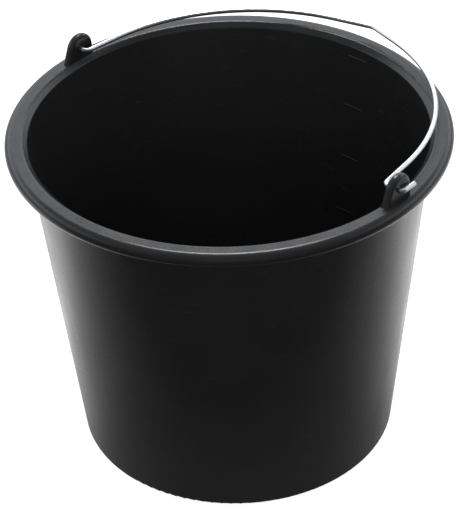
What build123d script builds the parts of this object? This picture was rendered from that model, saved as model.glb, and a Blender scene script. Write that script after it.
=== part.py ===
from build123d import *

import os
from math import cos, pi, radians, sin

# Florist bucket: a moulded plastic pail and its steel wire bail.
# Millimetres, +Z up. The origin is the centre of the foot ring, on the surface
# that the bucket stands on. The ears are at +X and -X, and the bail turns about
# the X axis of the ears. At rest it lies folded back over the +Y side of the rim.

# --- Wall and floor ---------------------------------------------------------
HEIGHT = 236.0  # from the surface it stands on to the flat top of the rim
FOOT_RADIUS = 109.4  # outside of the wall at the bottom
WALL_RADIUS_BELOW_RIM = 134.0  # outside of the wall where the rim's lip ends
WALL = 2.0
RIM_DROP = 10.0  # from the flat top of the rim down to the end of its lip
FOOT_RING_HEIGHT = 3.0
FOOT_RING_WIDTH = 3.4
FOOT_EDGE = 2.0  # rounding of the bottom outer edge
FLOOR = 2.5
FLOOR_CORNER = 4.0  # rounding between floor and wall, inside
GATE_RADIUS = 5.0  # shallow recess that the moulding gate leaves under the floor
GATE_DEPTH = 0.8

# --- Rim: a flat top that rolls over into an open channel --------------------
RIM_RADIUS = 147.9  # the widest part of the bucket
ROLL = 4.9  # outside radius of the roll
LIP = 2.0  # thickness of the roll and of the flat top
ROLL_WRAP = 55.0  # degrees that the roll carries on past its widest point
LIP_END_ROUNDING = 0.8
FLAT_INNER_RADIUS = 136.3
CHAMFER_DROP = 3.3  # height of the bevel between the flat top and the inner wall
BEVEL_TOP_ROUNDING = 3.0
BEVEL_BOTTOM_ROUNDING = 1.5
CHANNEL_CORNER = 3.5

# --- Ears: rounded lugs that lean the way the bail folds ---------------------
HINGE_ABOVE_RIM = 8.5
EAR_INNER_X = 135.8
EAR_OUTER_X = 141.3
EAR_FOOT_HALF = 13.2  # of the lug's root, along the rim
EAR_ROOT = 1.2  # how far the lug reaches down into the flat top
EAR_HEAD_RADIUS = 10.8
EAR_HEAD_Y = 1.9
EAR_HEAD_ABOVE_RIM = 7.2  # centre of the head's curve
EAR_OUTER_ROUNDING = 2.6
EAR_INNER_ROUNDING = 1.8
EAR_BORE_RADIUS = 2.1
RIB_THICKNESS = 2.0  # two ribs in the channel under each ear
RIB_OFFSET = 7.5
RIB_HEIGHT = 5.5
RIB_OVERLAP = 0.3  # how far a rib is sunk into the wall, the top and the roll

# --- Bail -------------------------------------------------------------------
# Centre line of the wire, seen from above with the bail folded level
WIRE_RADIUS = 1.6
HOOK_X = 143.8  # returned end, outside the ear
HOOK_RETURN = 12.5
HOOK_BEND = 2.6
LEG_X = 129.6  # where the leg comes out of the ear, on the hinge line
LEG_BEND = 4.0
SHOULDER_X = 115.6  # where the lines of the leg and of the top of the arch meet
SHOULDER_Y = 118.0
ARCH_RADIUS = 137.0
PEAK_X = 4.0  # the peak is bent slightly off the middle
PEAK_Y = 148.6
PEAK_BEND = 9.0
WIRE_END_ROUNDING = 0.5
FOLD_ANGLE = 0.3  # the folded bail dips this many degrees below level

# --- Litre scale on the inside of the wall -----------------------------------
SCALE_LITRES = (2, 4, 6, 8, 10)
DASH_START = 85.0  # degrees about Z
DASH_SWEEP = 7.0
DASH_RADIUS = 0.6  # the dashes are half round

os.makedirs("parts", exist_ok=True)

# --- Worked out --------------------------------------------------------------
FLOOR_TOP = FOOT_RING_HEIGHT + FLOOR
RIM_LIP_Z = HEIGHT - RIM_DROP
TAPER = (WALL_RADIUS_BELOW_RIM - FOOT_RADIUS) / RIM_LIP_Z
ROLL_R = RIM_RADIUS - ROLL
ROLL_Z = HEIGHT - ROLL
UNDERSIDE_Z = HEIGHT - LIP
HINGE_Z = HEIGHT + HINGE_ABOVE_RIM


def outer_wall(z):
    """Radius of the outside of the wall at height z."""
    return FOOT_RADIUS + TAPER * z


def inner_wall(z):
    """Radius of the inside of the wall at height z."""
    return outer_wall(z) - WALL


def fill_height(litres):
    """Height of the surface of this many litres standing in the tapered wall."""
    floor_cubed = inner_wall(FLOOR_TOP) ** 3
    surface_cubed = floor_cubed + 3 * TAPER * litres * 1e6 / pi
    return FLOOR_TOP + (surface_cubed ** (1 / 3) - inner_wall(FLOOR_TOP)) / TAPER


def roll_point(radius, angle):
    """A point of the roll's section: angle is 0 at its widest, 90 at the top."""
    turn = radians(angle)
    return (ROLL_R + radius * cos(turn), ROLL_Z + radius * sin(turn))


def corner(vertices, point):
    """The vertex of a sketch nearest to a point (radius, height)."""
    return vertices.sort_by_distance((point[0], point[1], 0))[0]


# --- Shell: floor, wall and rim, turned about Z -------------------------------
foot_inner = FOOT_RADIUS - FOOT_RING_WIDTH
foot_corner = (FOOT_RADIUS, 0)
floor_corner = (inner_wall(FLOOR_TOP), FLOOR_TOP)
bevel_bottom = (inner_wall(HEIGHT - CHAMFER_DROP), HEIGHT - CHAMFER_DROP)
bevel_top = (FLAT_INNER_RADIUS, HEIGHT)
channel_corner = (outer_wall(UNDERSIDE_Z), UNDERSIDE_Z)
lip_outer = roll_point(ROLL, -ROLL_WRAP)
lip_inner = roll_point(ROLL - LIP, -ROLL_WRAP)

with BuildPart() as shell:
    with BuildSketch(Plane.XZ) as section:
        with BuildLine():
            Polyline(
                (0, FLOOR_TOP),
                floor_corner,
                bevel_bottom,
                bevel_top,
                roll_point(ROLL, 90),
            )
            ThreePointArc(roll_point(ROLL, 90), roll_point(ROLL, 0), lip_outer)
            Line(lip_outer, lip_inner)
            ThreePointArc(
                lip_inner, roll_point(ROLL - LIP, 0), roll_point(ROLL - LIP, 90)
            )
            Polyline(
                roll_point(ROLL - LIP, 90),
                channel_corner,
                foot_corner,
                (foot_inner, 0),
                (foot_inner, FOOT_RING_HEIGHT),
                (GATE_RADIUS, FOOT_RING_HEIGHT),
                (GATE_RADIUS, FOOT_RING_HEIGHT + GATE_DEPTH),
                (0, FOOT_RING_HEIGHT + GATE_DEPTH),
                (0, FLOOR_TOP),
            )
        make_face()
        fillet(corner(section.vertices(), floor_corner), FLOOR_CORNER)
        fillet(corner(section.vertices(), foot_corner), FOOT_EDGE)
        fillet(corner(section.vertices(), channel_corner), CHANNEL_CORNER)
        fillet(corner(section.vertices(), bevel_bottom), BEVEL_BOTTOM_ROUNDING)
        fillet(corner(section.vertices(), bevel_top), BEVEL_TOP_ROUNDING)
        fillet(corner(section.vertices(), lip_outer), LIP_END_ROUNDING)
        fillet(corner(section.vertices(), lip_inner), LIP_END_ROUNDING)
    revolve(axis=Axis.Z)

# --- Ears: two rounded lugs on the flat top, with ribs in the channel below ------
rib_bottom_z = UNDERSIDE_Z - RIB_HEIGHT
rib_outer_x = RIM_RADIUS - LIP + RIB_OVERLAP
rib_outline = [
    (outer_wall(rib_bottom_z) - RIB_OVERLAP, rib_bottom_z),
    (outer_wall(rib_bottom_z) - RIB_OVERLAP, UNDERSIDE_Z - CHANNEL_CORNER / 2),
    (outer_wall(UNDERSIDE_Z) + CHANNEL_CORNER / 2, UNDERSIDE_Z + RIB_OVERLAP),
    (ROLL_R, UNDERSIDE_Z + RIB_OVERLAP),
    (rib_outer_x, ROLL_Z),
    (rib_outer_x, rib_bottom_z),
]

with BuildPart() as ears:
    with BuildSketch(Plane.YZ.offset(EAR_INNER_X)):
        with BuildLine():
            CenterArc((EAR_HEAD_Y, HEIGHT + EAR_HEAD_ABOVE_RIM), EAR_HEAD_RADIUS, 0, 360)
            Line((-EAR_FOOT_HALF, HEIGHT - EAR_ROOT), (EAR_FOOT_HALF, HEIGHT - EAR_ROOT))
        make_hull()
    extrude(amount=EAR_OUTER_X - EAR_INNER_X)
    outer_outline = ears.faces().sort_by(Axis.X)[-1].edges().sort_by(Axis.Z)[1:]
    inner_outline = ears.faces().sort_by(Axis.X)[0].edges().sort_by(Axis.Z)[1:]
    fillet(outer_outline, EAR_OUTER_ROUNDING)
    fillet(inner_outline, EAR_INNER_ROUNDING)
    with BuildSketch(Plane.YZ):
        with Locations((0, HINGE_Z)):
            Circle(EAR_BORE_RADIUS)
    extrude(amount=RIM_RADIUS, mode=Mode.SUBTRACT)
    for side in (-1, 1):
        with BuildSketch(Plane.XZ.offset(side * RIB_OFFSET)):
            with BuildLine():
                Polyline(*rib_outline, close=True)
            make_face()
        extrude(amount=RIB_THICKNESS / 2, both=True)
    mirror(about=Plane.YZ)

# --- Litre scale: a dash for each level ------------------------------------------
dash_plane = Plane(
    origin=(0, 0, 0),
    x_dir=Vector(1, 0, 0).rotate(Axis.Z, DASH_START),
    z_dir=Vector(0, -1, 0).rotate(Axis.Z, DASH_START),
)

with BuildPart() as litre_scale:
    with BuildSketch(dash_plane):
        for litres in SCALE_LITRES:
            level = fill_height(litres)
            with Locations((inner_wall(level), level)):
                Circle(DASH_RADIUS)
    revolve(axis=Axis.Z, revolution_arc=DASH_SWEEP)

# --- The moulding: shell, ears, ribs and scale in one piece -----------------------
with BuildPart() as bucket_body:
    add(shell.part)
    add(ears.part)
    add(litre_scale.part)
bucket_body.part.label = "bucket_body"
export_step(bucket_body.part, "parts/bucket_body.step")

# --- Bail: one length of round wire -----------------------------------------------
bail_plane = Plane(
    origin=(0, 0, HINGE_Z),
    x_dir=(1, 0, 0),
    z_dir=Vector(0, 0, 1).rotate(Axis.X, -FOLD_ANGLE),
)

with BuildPart() as bail:
    with BuildLine(bail_plane) as wire_path:
        FilletPolyline(
            (HOOK_X, HOOK_RETURN),
            (HOOK_X, 0),
            (LEG_X, 0),
            (SHOULDER_X, SHOULDER_Y),
            (PEAK_X, PEAK_Y),
            (-SHOULDER_X, SHOULDER_Y),
            (-LEG_X, 0),
            (-HOOK_X, 0),
            (-HOOK_X, HOOK_RETURN),
            radius=[
                HOOK_BEND,
                LEG_BEND,
                ARCH_RADIUS,
                PEAK_BEND,
                ARCH_RADIUS,
                LEG_BEND,
                HOOK_BEND,
            ],
        )
    wire_start = wire_path.wire() @ 0
    with BuildSketch(Plane(origin=wire_start, z_dir=wire_path.wire() % 0)):
        Circle(WIRE_RADIUS)
    sweep(path=wire_path.wire())
    ends = bail.faces().filter_by(GeomType.PLANE).sort_by(Axis.X)
    fillet([*ends[0].edges(), *ends[-1].edges()], WIRE_END_ROUNDING)
bail.part.label = "bail"
export_step(bail.part, "parts/bail.step")
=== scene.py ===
from math import atan, cos, pi, radians, sin

import bpy
from mathutils import Matrix, Vector


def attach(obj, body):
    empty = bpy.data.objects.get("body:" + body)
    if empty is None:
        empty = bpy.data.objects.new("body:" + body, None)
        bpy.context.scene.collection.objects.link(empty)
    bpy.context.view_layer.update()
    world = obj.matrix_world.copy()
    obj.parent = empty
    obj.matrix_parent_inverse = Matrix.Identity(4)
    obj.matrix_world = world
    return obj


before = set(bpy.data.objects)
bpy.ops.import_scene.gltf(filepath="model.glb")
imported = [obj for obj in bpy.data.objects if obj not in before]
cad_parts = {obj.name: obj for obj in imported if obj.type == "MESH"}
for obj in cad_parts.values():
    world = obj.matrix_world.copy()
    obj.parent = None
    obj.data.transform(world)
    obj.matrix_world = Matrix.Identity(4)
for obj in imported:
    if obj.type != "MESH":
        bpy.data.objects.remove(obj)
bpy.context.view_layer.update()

# Metres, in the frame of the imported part: the bucket stands on z = 0 about the Z axis,
# its ears are at +X and -X, and the folded bail lies over +Y.

# --- Camera -------------------------------------------------------------------------
VIEW_AZIMUTH = radians(42.4)
VIEW_ELEVATION = radians(36.3)
VIEW_ROLL = radians(-2.1)
VIEW_DISTANCE = 1.547
TARGET_RIGHT = -0.0021
TARGET_HEIGHT = 0.118
FOCAL_LENGTH = 157.9
SENSOR = 36.0
SHIFT_X = -0.0025
SHIFT_Y = 0.0273

RIGHT = Vector((cos(VIEW_AZIMUTH), sin(VIEW_AZIMUTH), 0))
AHEAD = Vector((-sin(VIEW_AZIMUTH), cos(VIEW_AZIMUTH), 0))  # level, away from the camera

# --- Section of the wall and the rim, for smooth highlights -------------------------
OUTER_RADIUS_AT_BASE = 0.1094
INNER_RADIUS_AT_BASE = 0.1074
TAPER = 24.6 / 226.0  # how fast the wall widens with height
OUTER_FACE = (0.0022, 0.2300)  # heights between which the wall's faces are straight
INNER_FACE = (0.0095, 0.2320)
RIM_TOP = 0.236
FLAT_INNER = 0.13747  # radii where the flat top turns into the bevel and into the roll
FLAT_OUTER = 0.143
BEVEL_CURVE = 0.003
BEVEL_CURVE_END = 0.0021  # height above its centre where the curve turns into the straight bevel
ROLL_CURVE = 0.0049
SECTION_TOLERANCE = 0.0002  # the faceted surface lies no further than this off the true one

# --- Litre scale --------------------------------------------------------------------
LITRES = (2, 4, 6, 8, 10)
FLOOR_TOP = 0.0055
FIGURE_AZIMUTH = radians(96.4)
FIGURE_HEIGHT = 0.0075
FIGURE_DROP = 0.004  # centre of a figure below the level of its dash
UNIT_HEIGHT = 0.0058
UNIT_RISE = 0.0042  # centre of the unit letter above the top dash
CAP_HEIGHT = 0.7  # height of a capital or a figure, over the size of the type
RELIEF = 0.0005
SUNK = 0.0002  # how far the back of a figure lies inside the wall
CURVE_STEPS = 6  # of the type's outline

# --- Noise --------------------------------------------------------------------------
MIDDLE = (0.3, 0.7)  # where most of a noise's values lie
WIDER_MIDDLE = (0.25, 0.75)

# --- Black plastic: cells are per metre, depths in metres ---------------------------
PLASTIC_DARK = (0.0075, 0.0077, 0.0080, 1)
PLASTIC_LIGHT = (0.0125, 0.0126, 0.0129, 1)
PLASTIC_ROUGHNESS = (0.22, 0.31)
PLASTIC_SPECULAR = 0.36
CLOUD_CELLS = 16.0
STREAK_CELLS = 90.0
STREAK_STRETCH = (1.0, 1.0, 0.12)
STREAK_ROUGHNESS = 0.03
STREAK_DEPTH = 0.00002
PEBBLE_CELLS = 900.0
PEBBLE_DEPTH = 0.00004
GRAIN_CELLS = 2600.0
GRAIN_DEPTH = 0.000012
SCUFF_CELLS = 55.0
SCUFF_STRETCH = (1.0, 1.0, 5.0)
SCUFF_FROM = (0.60, 0.74)  # noise level at which a scuff starts and is full
SCUFF_COLOUR = (0.030, 0.030, 0.031, 1)
SCUFF_SHARE = 0.35
SCUFF_ROUGHNESS = 0.08

# --- Zinc-plated wire ---------------------------------------------------------------
ZINC_DARK = (0.70, 0.71, 0.72, 1)
ZINC_LIGHT = (0.86, 0.87, 0.88, 1)
ZINC_ROUGHNESS = (0.28, 0.40)
PATCH_CELLS = 70.0
SPECK_CELLS = 1400.0
SPECK_FROM = (0.60, 0.75)
SPECK_COLOUR = (0.46, 0.46, 0.47, 1)
SPECK_SHARE = 0.45
SPECK_DEPTH = 0.00002
SCRATCH_CELLS = 4000.0
SCRATCH_DEPTH = 0.000006

# --- Light --------------------------------------------------------------------------
LIGHT_DISTANCE = 1.8
KEY_ELEVATION = radians(59)  # beyond the bucket
KEY_SIZE = 0.5
KEY_POWER = 15.0
FILL_ELEVATION = radians(22)  # on the camera's side
FILL_SIZE = 1.1
FILL_POWER = 25.0
TOP_ELEVATION = radians(90)
TOP_SIZE = 1.5
TOP_POWER = 34.0
ROOM_COLOUR = (0.92, 0.94, 1.0, 1)
ROOM_FRONT = 0.1  # light from the room, on the camera's side
ROOM_TURN = (-0.6, 0.3)  # cosine of the angle from AHEAD, where the front gives way to the back
BACKDROP_HORIZON = 0.3
BACKDROP_BAND = 2.5  # light from the brightest band of the backdrop
BACKDROP_RISE = (0.0, 0.45)  # sine of the elevation, up to the band
BACKDROP_FALL = (0.50, 0.585)  # from the band to the dimmer part above it
BACKDROP_ABOVE = 0.12  # share of the band's light
CEILING = 0.4  # light from straight above
CEILING_RISE = (0.75, 1.0)  # sine of the elevation

# --- Floor --------------------------------------------------------------------------
FLOOR_SIZE = 8.0
FLOOR_COLOUR = 0.45
FLOOR_GLOW = 0.75  # of the paper itself, so that shadows on it stay light
FLOOR_ROUGHNESS = 0.9
FLOOR_SPECULAR = 0.1
MOTTLE_CELLS = 6.0
MOTTLE_SHARE = (0.985, 1.0)
FLOOR_TURN = (-0.20, 0.08)  # metres along AHEAD, where the front gives way to the back
FLOOR_SEEN = (0.015, 0.4)  # painted shade: colour that the bucket sees of the floor, dark in front and lighter behind, while the camera sees it plain
FLOOR_SHEEN = (0.88, 0.308)  # light that edges the bucket's sides, close by and further off
FLOOR_SHEEN_CURVE = 2.75
FLOOR_FADE = (0.10, 0.45)  # metres along AHEAD, over which that light grows weaker


# --- Node helpers -------------------------------------------------------------------
class Nodes:
    """A short way to write the node tree of a material or of the world."""

    def __init__(self, owner):
        owner.use_nodes = True
        self.tree = owner.node_tree
        self.tree.nodes.clear()

    def add(self, kind, inputs=None, **settings):
        """A new node; inputs maps a socket's name or number to a value or to another socket."""
        node = self.tree.nodes.new(kind)
        for name, value in settings.items():
            setattr(node, name, value)
        for name, value in (inputs or {}).items():
            if isinstance(value, bpy.types.NodeSocket):
                self.tree.links.new(value, node.inputs[name])
            else:
                node.inputs[name].default_value = value
        return node

    def place(self, stretch=(1, 1, 1)):
        """Object coordinates, stretched."""
        where = self.add("ShaderNodeTexCoord").outputs["Object"]
        return self.add("ShaderNodeMapping", {"Vector": where, "Scale": stretch}).outputs[0]

    def noise(self, where, scale, detail=3.0, roughness=0.5):
        """Noise from 0 to 1; scale is in cells per metre."""
        inputs = {"Vector": where, "Scale": scale, "Detail": detail, "Roughness": roughness}
        return self.add("ShaderNodeTexNoise", inputs).outputs["Fac"]

    def remap(self, value, source, target):
        """A value mapped from one range to another, held at the ends."""
        inputs = {0: value, 1: source[0], 2: source[1], 3: target[0], 4: target[1]}
        return self.add("ShaderNodeMapRange", inputs).outputs[0]

    def calc(self, operation, a, b):
        """One step of arithmetic on two values or sockets."""
        return self.add("ShaderNodeMath", {0: a, 1: b}, operation=operation).outputs[0]

    def within(self, value, limits):
        """1 where a value lies between two limits, and 0 elsewhere."""
        over = self.calc("GREATER_THAN", value, limits[0])
        return self.calc("MULTIPLY", over, self.calc("LESS_THAN", value, limits[1]))

    def vector(self, operation, *values, output="Vector"):
        """One step of vector arithmetic."""
        inputs = dict(enumerate(values))
        return self.add("ShaderNodeVectorMath", inputs, operation=operation).outputs[output]

    def mix(self, share, a, b):
        """A mix of two values."""
        return self.add("ShaderNodeMix", {0: share, 2: a, 3: b}).outputs[0]

    def mix_normals(self, share, a, b):
        """A mix of two normals."""
        inputs = {0: share, 4: a, 5: b}
        return self.add("ShaderNodeMix", inputs, data_type="VECTOR").outputs[1]

    def blend(self, share, a, b):
        """A mix of two colours."""
        inputs = {0: share, 6: a, 7: b}
        return self.add("ShaderNodeMix", inputs, data_type="RGBA").outputs[2]

    def to_world(self, normal):
        """A normal turned from the object's axes to the world's."""
        settings = {"vector_type": "NORMAL", "convert_from": "OBJECT", "convert_to": "WORLD"}
        return self.add("ShaderNodeVectorTransform", {0: normal}, **settings).outputs[0]

    def bump(self, height, depth, below=None):
        """A bump, with another one beneath it."""
        inputs = {"Height": height, "Strength": 1.0, "Distance": depth}
        if below:
            inputs["Normal"] = below
        return self.add("ShaderNodeBump", inputs).outputs[0]

    def surface(self, inputs):
        """The material's shader and its output."""
        shader = self.add("ShaderNodeBsdfPrincipled", inputs)
        self.add("ShaderNodeOutputMaterial", {"Surface": shader.outputs[0]})


# --- Materials ----------------------------------------------------------------------
def true_normal(n):
    """The true normal of the wall and of the rim's top, and elsewhere the mesh's own.

    A face of the wall is a cone. The top's section is a flat between two arcs, so its normal
    points away from the nearest point of a flat strip one curve's radius below the surface.
    """
    where = n.add("ShaderNodeTexCoord").outputs["Object"]
    height = n.add("ShaderNodeSeparateXYZ", {0: where}).outputs["Z"]
    across = n.vector("MULTIPLY", where, (1.0, 1.0, 0.0))
    radius = n.vector("LENGTH", across, output="Value")
    outward = n.vector("NORMALIZE", across)
    result = n.add("ShaderNodeNewGeometry").outputs["Normal"]
    tolerance = (-SECTION_TOLERANCE, SECTION_TOLERANCE)

    lean = atan(TAPER)
    faces = ((OUTER_RADIUS_AT_BASE, OUTER_FACE, 1), (INNER_RADIUS_AT_BASE, INNER_FACE, -1))
    for base_radius, limits, side in faces:
        wall = n.calc("ADD", n.calc("MULTIPLY", height, TAPER), base_radius)
        near = n.within(n.calc("SUBTRACT", radius, wall), tolerance)
        share = n.calc("MULTIPLY", near, n.within(height, limits))
        level = (side * cos(lean),) * 3
        normal = n.vector("MULTIPLY_ADD", outward, level, (0.0, 0.0, -side * sin(lean)))
        result = n.mix_normals(share, result, n.to_world(normal))

    inner = n.calc("MINIMUM", n.calc("SUBTRACT", radius, FLAT_INNER), 0.0)
    outer = n.calc("MAXIMUM", n.calc("SUBTRACT", radius, FLAT_OUTER), 0.0)
    past = n.calc("ADD", inner, outer)
    on_roll = n.calc("GREATER_THAN", radius, FLAT_OUTER)
    curve = n.mix(on_roll, BEVEL_CURVE, ROLL_CURVE)
    rise = n.calc("ADD", n.calc("SUBTRACT", height, RIM_TOP), curve)
    upright = n.add("ShaderNodeCombineXYZ", {"Z": rise}).outputs[0]
    normal = n.vector("ADD", n.vector("MULTIPLY", outward, past), upright)
    reach = n.vector("LENGTH", normal, output="Value")
    near = n.within(n.calc("SUBTRACT", reach, curve), tolerance)
    above = n.calc("GREATER_THAN", rise, n.mix(on_roll, BEVEL_CURVE_END, 0.0))
    share = n.calc("MULTIPLY", near, above)
    return n.mix_normals(share, result, n.to_world(n.vector("NORMALIZE", normal)))


def moulded_plastic():
    """Black polypropylene: satin, finely grained, with flow streaks and light scuffs."""
    material = bpy.data.materials.new("moulded plastic")
    n = Nodes(material)
    where = n.place()
    cloud = n.noise(where, CLOUD_CELLS, detail=4.0)
    streak = n.noise(n.place(STREAK_STRETCH), STREAK_CELLS)
    grain = n.noise(where, GRAIN_CELLS, detail=2.0)
    pebble = n.noise(where, PEBBLE_CELLS, roughness=0.6)
    scuff = n.noise(n.place(SCUFF_STRETCH), SCUFF_CELLS, detail=6.0, roughness=0.7)
    scuffed = n.remap(scuff, SCUFF_FROM, (0.0, 1.0))
    tone = n.blend(cloud, PLASTIC_DARK, PLASTIC_LIGHT)
    tone = n.blend(n.calc("MULTIPLY", scuffed, SCUFF_SHARE), tone, SCUFF_COLOUR)
    rough = n.remap(cloud, WIDER_MIDDLE, PLASTIC_ROUGHNESS)
    rough = n.calc("ADD", rough, n.calc("MULTIPLY", scuffed, SCUFF_ROUGHNESS))
    streaked = n.remap(streak, MIDDLE, (-STREAK_ROUGHNESS, STREAK_ROUGHNESS))
    rough = n.calc("ADD", rough, streaked)
    relief = n.bump(streak, STREAK_DEPTH, true_normal(n))
    relief = n.bump(pebble, PEBBLE_DEPTH, relief)
    relief = n.bump(grain, GRAIN_DEPTH, relief)
    n.surface(
        {
            "Base Color": tone,
            "Roughness": rough,
            "Specular IOR Level": PLASTIC_SPECULAR,
            "Normal": relief,
        }
    )
    return material


def bail_wire():
    """Bright zinc-plated drawn wire, with fine scratches and duller patches."""
    material = bpy.data.materials.new("bail wire")
    n = Nodes(material)
    where = n.place()
    patch = n.noise(where, PATCH_CELLS, detail=4.0)
    speck = n.noise(where, SPECK_CELLS, roughness=0.6)
    scratch = n.noise(where, SCRATCH_CELLS, detail=2.0)
    tone = n.blend(patch, ZINC_DARK, ZINC_LIGHT)
    dull = n.remap(speck, SPECK_FROM, (0.0, SPECK_SHARE))
    tone = n.blend(dull, tone, SPECK_COLOUR)
    rough = n.remap(patch, MIDDLE, ZINC_ROUGHNESS)
    relief = n.bump(speck, SPECK_DEPTH)
    relief = n.bump(scratch, SCRATCH_DEPTH, relief)
    n.surface({"Base Color": tone, "Metallic": 1.0, "Roughness": rough, "Normal": relief})
    return material


def floor_paper():
    """Pale paper that glows: evenly white to the camera, so that shadows on it stay light. To
    the bucket it shows painted shade in front and a bright glow beyond.
    """
    material = bpy.data.materials.new("floor paper")
    n = Nodes(material)
    where = n.add("ShaderNodeTexCoord").outputs["Object"]
    along = n.vector("DOT_PRODUCT", where, AHEAD, output="Value")
    seen = n.remap(along, FLOOR_TURN, FLOOR_SEEN)
    rise = n.calc("POWER", n.remap(along, FLOOR_TURN, (0.0, 1.0)), FLOOR_SHEEN_CURVE)
    sheen = n.calc("MULTIPLY", rise, n.remap(along, FLOOR_FADE, FLOOR_SHEEN))
    mottle = n.remap(n.noise(where, MOTTLE_CELLS), MIDDLE, MOTTLE_SHARE)
    plain = n.calc("MULTIPLY", mottle, FLOOR_COLOUR)
    direct = n.add("ShaderNodeLightPath").outputs["Is Camera Ray"]
    n.surface(
        {
            "Base Color": n.mix(direct, seen, plain),
            "Roughness": FLOOR_ROUGHNESS,
            "Specular IOR Level": FLOOR_SPECULAR,
            "Emission Color": (1.0, 1.0, 1.0, 1),
            "Emission Strength": n.mix(direct, sheen, FLOOR_GLOW),
        }
    )
    return material


def dress(node, material):
    """Gives a CAD node its material."""
    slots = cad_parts[node].data.materials
    slots.clear()
    slots.append(material)


# --- Litre figures ------------------------------------------------------------------
def inner_wall(z):
    """Radius of the inside of the wall at height z."""
    return INNER_RADIUS_AT_BASE + TAPER * z


def fill_height(litres):
    """Height of the surface of this many litres standing in the tapered wall."""
    floor_cubed = inner_wall(FLOOR_TOP) ** 3
    surface_cubed = floor_cubed + 3 * TAPER * litres * 1e-3 / pi
    return FLOOR_TOP + (surface_cubed ** (1 / 3) - inner_wall(FLOOR_TOP)) / TAPER


def add_figure(name, text, height, z, material):
    """Raised type on the inside of the wall, centred at height z, read from the middle."""
    lean = atan(TAPER)
    outward = Vector((cos(FIGURE_AZIMUTH), sin(FIGURE_AZIMUTH), 0))
    normal = -outward * cos(lean) + Vector((0, 0, sin(lean)))
    up = outward * sin(lean) + Vector((0, 0, cos(lean)))
    turn = Matrix((up.cross(normal), up, normal)).transposed()
    data = bpy.data.curves.new(name, "FONT")
    data.body = text
    data.size = height / CAP_HEIGHT
    data.align_x = "CENTER"
    data.align_y = "CENTER"
    data.extrude = (RELIEF + SUNK) / 2
    data.resolution_u = CURVE_STEPS
    letters = bpy.data.objects.new(name, data)
    bpy.context.scene.collection.objects.link(letters)
    bpy.context.view_layer.update()
    solid = letters.evaluated_get(bpy.context.evaluated_depsgraph_get())
    mesh = bpy.data.meshes.new_from_object(solid)
    bpy.data.objects.remove(letters)
    piece = bpy.data.objects.new(name, mesh)
    foot = outward * inner_wall(z) + Vector((0, 0, z))
    piece.matrix_world = Matrix.Translation(foot + normal * (RELIEF - SUNK) / 2) @ turn.to_4x4()
    bpy.context.scene.collection.objects.link(piece)
    mesh.materials.clear()
    mesh.materials.append(material)
    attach(piece, "bucket")


def add_litre_figures(material):
    """A figure below the level of each dash, and the unit above the top one."""
    for litres in LITRES:
        level = fill_height(litres)
        add_figure(f"figure_{litres}", str(litres), FIGURE_HEIGHT, level - FIGURE_DROP, material)
    add_figure("figure_unit", "L", UNIT_HEIGHT, fill_height(LITRES[-1]) + UNIT_RISE, material)


# --- Studio -------------------------------------------------------------------------
def add_camera():
    """The camera, looking down at the middle of the bucket with a slight roll."""
    ahead = AHEAD * cos(VIEW_ELEVATION) - Vector((0, 0, sin(VIEW_ELEVATION)))
    up = RIGHT.cross(ahead)
    target = RIGHT * TARGET_RIGHT + Vector((0, 0, TARGET_HEIGHT))
    x_axis = RIGHT * cos(VIEW_ROLL) + up * sin(VIEW_ROLL)
    y_axis = up * cos(VIEW_ROLL) - RIGHT * sin(VIEW_ROLL)
    turn = Matrix((x_axis, y_axis, -ahead)).transposed()
    data = bpy.data.cameras.new("camera")
    data.lens = FOCAL_LENGTH
    data.sensor_width = SENSOR
    data.shift_x = SHIFT_X
    data.shift_y = SHIFT_Y
    camera = bpy.data.objects.new("camera", data)
    camera.matrix_world = Matrix.Translation(target - ahead * VIEW_DISTANCE) @ turn.to_4x4()
    bpy.context.scene.collection.objects.link(camera)
    bpy.context.scene.camera = camera


def add_floor():
    """The surface that the bucket stands on."""
    bpy.ops.mesh.primitive_plane_add(size=FLOOR_SIZE)
    floor = bpy.context.object
    floor.name = "floor"
    floor.data.materials.append(floor_paper())


def add_world():
    """Soft light from all round, brightest low down beyond the bucket."""
    world = bpy.data.worlds.new("studio")
    bpy.context.scene.world = world
    n = Nodes(world)
    where = n.add("ShaderNodeTexCoord").outputs["Generated"]
    along = n.vector("DOT_PRODUCT", where, AHEAD, output="Value")
    height = n.add("ShaderNodeSeparateXYZ", {0: where}).outputs["Z"]
    rise = n.remap(height, BACKDROP_RISE, (BACKDROP_HORIZON, BACKDROP_BAND))
    fall = n.remap(height, BACKDROP_FALL, (1.0, BACKDROP_ABOVE))
    turned = n.remap(along, ROOM_TURN, (0.0, 1.0))
    walls = n.mix(turned, ROOM_FRONT, n.calc("MULTIPLY", rise, fall))
    ceiling = n.remap(height, CEILING_RISE, (0.0, CEILING))
    level = n.calc("MAXIMUM", walls, ceiling)
    sky = n.add("ShaderNodeBackground", {"Color": ROOM_COLOUR, "Strength": level})
    n.add("ShaderNodeOutputWorld", {"Surface": sky.outputs[0]})


def add_softbox(name, side, elevation, size, power, mirrored):
    """A square light aimed at the bucket; side is 1 beyond it and -1 on the camera's side."""
    towards = AHEAD * side * cos(elevation) + Vector((0, 0, sin(elevation)))
    data = bpy.data.lights.new(name, "AREA")
    data.size = size
    data.energy = power
    softbox = bpy.data.objects.new(name, data)
    softbox.location = towards * LIGHT_DISTANCE + Vector((0, 0, TARGET_HEIGHT))
    softbox.rotation_euler = towards.to_track_quat("Z", "Y").to_euler()
    softbox.visible_glossy = mirrored
    bpy.context.scene.collection.objects.link(softbox)


add_camera()
plastic = moulded_plastic()
dress("bucket_body", plastic)
dress("bail", bail_wire())
add_litre_figures(plastic)
add_floor()
add_world()
add_softbox("key", 1, KEY_ELEVATION, KEY_SIZE, KEY_POWER, mirrored=True)
add_softbox("fill", -1, FILL_ELEVATION, FILL_SIZE, FILL_POWER, mirrored=False)
add_softbox("top", 1, TOP_ELEVATION, TOP_SIZE, TOP_POWER, mirrored=False)
bpy.context.scene.view_settings.view_transform = "Standard"
